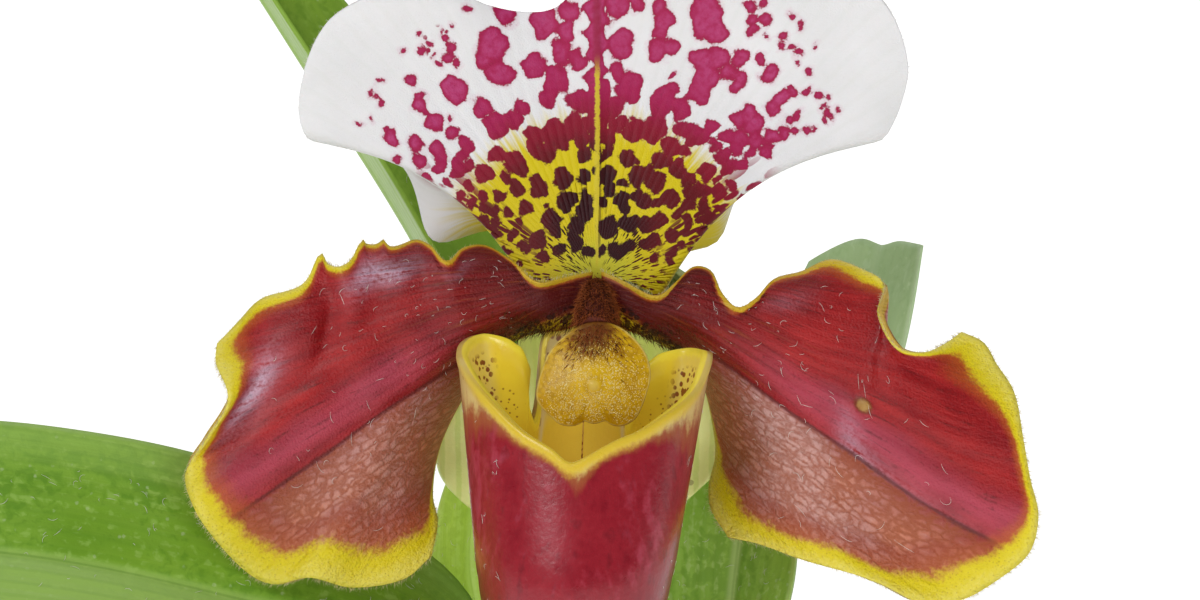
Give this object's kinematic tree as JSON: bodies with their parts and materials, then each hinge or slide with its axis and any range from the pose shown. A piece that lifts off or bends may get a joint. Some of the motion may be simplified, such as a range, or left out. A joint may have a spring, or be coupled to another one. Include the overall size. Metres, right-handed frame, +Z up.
{
  "type": "potted paphiopedilum orchid",
  "caption": "Slipper orchid in flower: spotted dorsal sepal, waved petals and a pouch on a stem above a fan of strap leaves, in a plain clay pot.",
  "frame": {"origin": "centre of the pot's underside", "axes": "+Z up out of the pot, -Y the way the flower faces, +X to the right of someone looking at the flower"},
  "size_m": [0.2898, 0.1475, 0.2978],
  "materials": {
    "dorsal_sepal": "matt petal, white with crimson blotches",
    "synsepal": "matt petal, pale green with green veins",
    "petals": "satin petal, crimson with a yellow margin",
    "pouch": "waxy petal, deep crimson with a yellow rim",
    "staminode": "granular golden yellow",
    "column": "matt, dark brown-red, downy",
    "ovary": "ribbed and downy green",
    "bract": "papery pale green with veins",
    "flower_stem": "downy dark green",
    "leaves": "satin green strap leaf with a keel",
    "bark": "rough bark chips",
    "clay": "plain unglazed clay"
  },
  "bodies": {
    "root": {"dorsal_sepal": "dorsal_sepal", "synsepal": "synsepal", "petal_left": "petals", "petal_right": "petals", "pouch": "pouch", "staminode": "staminode", "column": "column", "ovary": "ovary", "bract": "bract", "flower_stem": "flower_stem", "leaf_front_right": "leaves", "leaf_back_left": "leaves", "leaf_back_right": "leaves", "leaf_left": "leaves", "leaf_right_inner": "leaves", "leaf_left_inner": "leaves", "leaf_right_tall": "leaves", "leaf_left_tall": "leaves", "potting_bark": "bark", "pot": "clay"}
  },
  "joints": []
}
